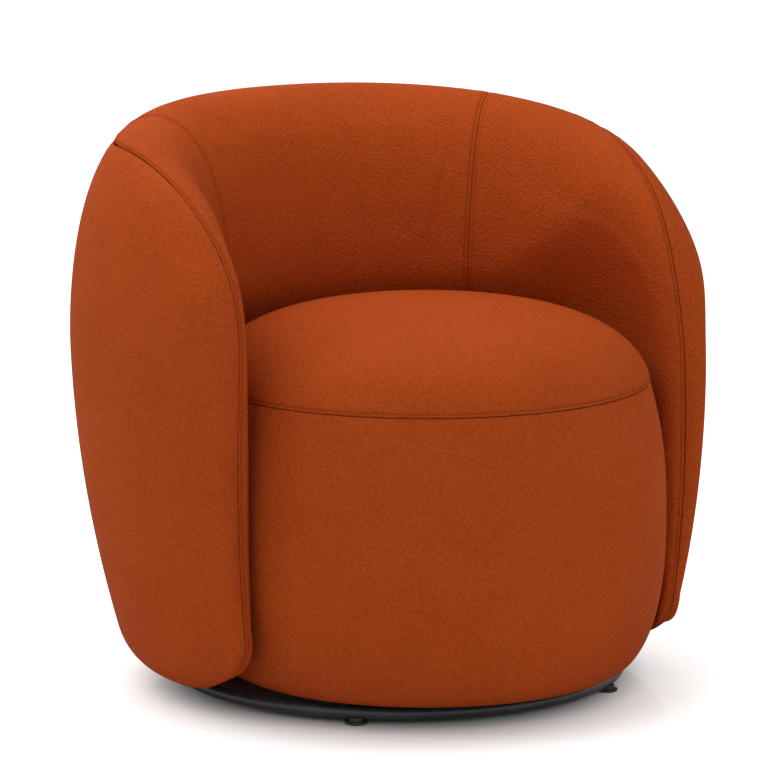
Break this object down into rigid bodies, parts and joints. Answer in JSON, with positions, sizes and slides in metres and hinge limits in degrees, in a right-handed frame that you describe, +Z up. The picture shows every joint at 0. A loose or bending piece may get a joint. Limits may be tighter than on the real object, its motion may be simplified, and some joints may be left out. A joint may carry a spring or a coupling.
{
  "type": "swivel accent chair",
  "caption": "Low barrel armchair: padded horseshoe shell round a domed drum seat, turning on a flat black ring base.",
  "frame": {"origin": "on the floor, under the middle of the chair's overall box", "axes": "+Z up, the chair faces -Y, +X is to its sitter's left"},
  "size_m": [0.8132, 0.8115, 0.7282],
  "materials": {
    "fabric_orange": "burnt orange pebbled upholstery cloth",
    "black_steel": "satin charcoal powder coat",
    "zinc_steel": "zinc plated",
    "bright_steel": "plain bright steel",
    "black_plastic": "matt",
    "black_cloth": "thin non-woven cloth",
    "plywood": "bare birch plywood"
  },
  "bodies": {
    "base": {"base_ring": "black_steel", "base_bar": "black_steel", "base_half_bar_left": "black_steel", "base_half_bar_right": "black_steel", "glide_front_left": "black_plastic", "glide_front_right": "black_plastic", "glide_back_left": "black_plastic", "glide_back_right": "black_plastic", "swivel_lower_plate": "zinc_steel", "swivel_pivot": "zinc_steel", "lower_screw_1": "zinc_steel", "lower_screw_2": "zinc_steel", "lower_screw_3": "zinc_steel", "lower_screw_4": "zinc_steel"},
    "ball_cage": {"ball_cage": "bright_steel"},
    "seat": {"swivel_upper_plate": "zinc_steel", "upper_screw_1": "zinc_steel", "upper_screw_2": "zinc_steel", "upper_screw_3": "zinc_steel", "upper_screw_4": "zinc_steel", "seat_board": "plywood", "seat_rail": "plywood", "seat_post_1": "plywood", "seat_post_2": "plywood", "seat_post_3": "plywood", "seat_post_4": "plywood", "seat_post_5": "plywood", "seat_post_6": "plywood", "seat_post_7": "plywood", "seat_post_8": "plywood", "seat_spring_1": "bright_steel", "seat_spring_2": "bright_steel", "seat_spring_3": "bright_steel", "seat_spring_4": "bright_steel", "seat_band": "fabric_orange", "seat_cushion": "fabric_orange", "dust_cover": "black_cloth", "outer_panel": "fabric_orange", "back_pad": "fabric_orange", "arm_pad_left": "fabric_orange", "arm_pad_right": "fabric_orange", "shell_base_rib": "plywood", "shell_middle_rib": "plywood", "shell_top_rib": "plywood", "shell_lower_post_1": "plywood", "shell_lower_post_2": "plywood", "shell_lower_post_3": "plywood", "shell_lower_post_4": "plywood", "shell_upper_post_1": "plywood", "shell_upper_post_2": "plywood", "shell_upper_post_3": "plywood", "shell_upper_post_4": "plywood", "joining_bolt_1": "zinc_steel", "joining_bolt_2": "zinc_steel", "joining_bolt_3": "zinc_steel", "joining_bolt_4": "zinc_steel", "shell_dust_cover": "black_cloth"}
  },
  "joints": [
    {"name": "swivel", "type": "hinge", "parent": "base", "child": "seat", "pos_m": [0, -0.0298, 0.029], "axis": [0, 0, 1], "continuous": true},
    {"name": "cage_turn", "type": "hinge", "parent": "base", "child": "ball_cage", "pos_m": [0, -0.0298, 0.0256], "axis": [0, 0, 1], "continuous": true}
  ],
  "couplings": [
    {"joint": "cage_turn", "follows": "swivel", "ratio": 0.5}
  ]
}
